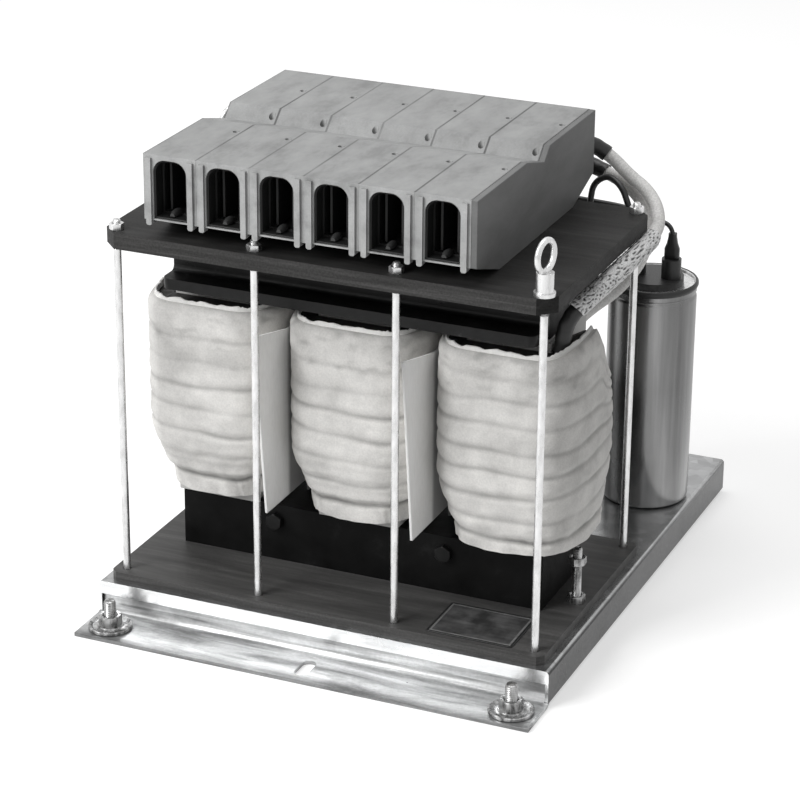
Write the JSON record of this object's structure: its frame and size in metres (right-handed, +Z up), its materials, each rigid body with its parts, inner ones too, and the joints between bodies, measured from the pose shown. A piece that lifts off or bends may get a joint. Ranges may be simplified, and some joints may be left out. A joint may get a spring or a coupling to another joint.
{
  "type": "sine wave filter",
  "caption": "Open-frame three-phase output filter: iron-core choke with taped coils, capacitor cans and a row of feed-through terminals on a folded sheet base.",
  "frame": {"origin": "centre of the two mounting slots, on the underside of the foot rails", "axes": "+X to the right along the terminal row, +Y to the rear where the capacitors stand, +Z up"},
  "size_m": [0.3061, 0.412, 0.31],
  "materials": {
    "galvanised": "galvanised sheet, satin",
    "zinc": "zinc plated, satin",
    "board": "dark grey laminate, satin",
    "core": "varnished laminations, satin",
    "clamp": "black paint, satin",
    "coil_tape": "cotton tape, varnished, matte",
    "pressboard": "insulating paper, matte",
    "terminal": "light grey moulding, satin",
    "terminal_end": "grey moulding, satin",
    "copper": "tinned copper, satin",
    "can": "drawn aluminium, satin",
    "black_plastic": "black moulding, satin",
    "white_sleeving": "silicone glass sleeving, satin",
    "black_wire": "black insulation, satin",
    "braid": "speckled braid, matte",
    "plate": "blank aluminium label plate, satin"
  },
  "bodies": {
    "root": {"air_gap_sheet": "pressboard", "base_tray": "galvanised", "braided_sleeve": "braid", "capacitor_jumpers": "black_wire", "capacitor_left": "can", "capacitor_lid_left": "black_plastic", "capacitor_lid_middle": "black_plastic", "capacitor_lid_right": "black_plastic", "capacitor_middle": "can", "capacitor_nuts": "zinc", "capacitor_right": "can", "capacitor_wire_left": "black_wire", "capacitor_wire_middle": "black_wire", "capacitor_wire_right": "black_wire", "clamp_angle_front": "clamp", "clamp_angle_rear": "clamp", "clamp_cages": "zinc", "clamp_spindles": "zinc", "coil_left": "coil_tape", "coil_middle": "coil_tape", "coil_right": "coil_tape", "core_limbs": "core", "core_yoke": "core", "current_bars": "copper", "earth_nuts": "zinc", "earth_stud": "zinc", "eye_nut_front": "zinc", "eye_nut_rear": "zinc", "foot_nuts": "zinc", "foot_rail_front": "galvanised", "foot_rail_rear": "galvanised", "foot_studs": "zinc", "foot_washers": "zinc", "former_left": "pressboard", "former_middle": "pressboard", "former_right": "pressboard", "lead_1": "white_sleeving", "lead_2": "white_sleeving", "lead_3": "white_sleeving", "lead_4": "white_sleeving", "lead_5": "white_sleeving", "lead_6": "white_sleeving", "lower_board": "board", "rating_plate": "plate", "separator_left": "pressboard", "separator_right": "pressboard", "terminal_1": "terminal", "terminal_2": "terminal", "terminal_3": "terminal", "terminal_4": "terminal", "terminal_5": "terminal", "terminal_6": "terminal", "terminal_end_plate": "terminal_end", "tie_rod_nuts": "zinc", "tie_rods": "zinc", "upper_board": "board", "yoke_bolts": "zinc", "yoke_nuts": "zinc"}
  },
  "joints": []
}
